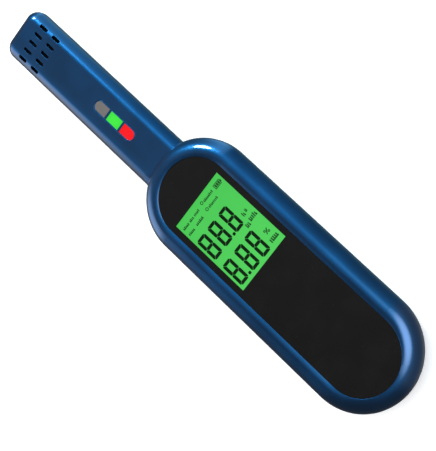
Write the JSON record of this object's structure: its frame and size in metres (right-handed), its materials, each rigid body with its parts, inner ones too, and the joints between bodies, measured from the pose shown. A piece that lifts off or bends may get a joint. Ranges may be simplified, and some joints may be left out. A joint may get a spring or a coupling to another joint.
{
  "type": "handheld breath alcohol tester",
  "caption": "Blue handheld breath tester with a long round-ended body, a black window over a green segment display and a slender neck that ends in a slotted intake grille.",
  "frame": {"origin": "middle of the whole length and width, on the plane of the flat back", "axes": "+X across the body to the right when the window faces the viewer and the neck points up; +Y along the body towards the neck's tip; +Z out of the window"},
  "size_m": [0.0434, 0.1986, 0.0179],
  "materials": {
    "shell_blue": "metallic dark blue, glossy",
    "window_black": "polished black, clear over the display",
    "black_adhesive": "thin black foam tape",
    "lcd_green": "green lit display glass with dark segments",
    "backlight_white": "milky light guide",
    "black_plastic": "moulded black plastic",
    "pink_rubber": "layered silicone strip",
    "led_package": "white package with a yellowish lens",
    "board_green": "circuit board with green solder mask",
    "chip_black": "moulded chip package",
    "small_part_tan": "small ceramic parts",
    "bare_steel": "bare sheet steel",
    "pouch_foil": "laminated battery foil",
    "lead_red": "insulated wire",
    "connector_ivory": "moulded connector",
    "sensor_phenolic": "dark phenolic base",
    "pin_brass": "plated pins",
    "black_rubber": "soft black rubber",
    "mesh_black": "fine black woven mesh",
    "lens_grey": "unlit smoked lens",
    "lens_green": "lit green lens",
    "lens_red": "lit red lens",
    "ribbon_grey": "flat grey cable",
    "screw_steel": "plated screws"
  },
  "bodies": {
    "housing": {"front_shell": "shell_blue", "rear_shell": "shell_blue", "window_lens": "window_black", "window_tape": "black_adhesive", "lcd_glass": "lcd_green", "lcd_backlight": "backlight_white", "lcd_frame": "black_plastic", "zebra_strip": "pink_rubber", "backlight_leds": "led_package", "main_board": "board_green", "microcontroller": "chip_black", "board_chips": "chip_black", "small_parts": "small_part_tan", "crystal": "bare_steel", "buzzer": "black_plastic", "usb_socket_shell": "bare_steel", "usb_socket_tongue": "black_plastic", "switch_body": "bare_steel", "battery_cell": "pouch_foil", "battery_guard_board": "board_green", "battery_leads": "lead_red", "battery_plug": "connector_ivory", "battery_socket": "connector_ivory", "battery_tape": "black_adhesive", "neck_board": "board_green", "sensor_base": "sensor_phenolic", "sensor_cap": "bare_steel", "sensor_pins": "pin_brass", "sensor_gasket": "black_rubber", "vent_mesh": "mesh_black", "indicator_bezel": "black_plastic", "indicator_lens_grey": "lens_grey", "indicator_lens_green": "lens_green", "indicator_lens_red": "lens_red", "indicator_leds": "led_package", "light_divider": "black_plastic", "neck_ribbon": "ribbon_grey", "ribbon_sockets": "connector_ivory", "case_screws": "screw_steel", "board_screws": "screw_steel"},
    "button": {"power_button": "shell_blue", "switch_plunger": "black_plastic"}
  },
  "joints": [
    {"name": "power_press", "type": "slide", "parent": "housing", "child": "button", "axis": [1, 0, 0], "range_m": [0, 0.0005], "stiffness_N_per_m": 800}
  ]
}
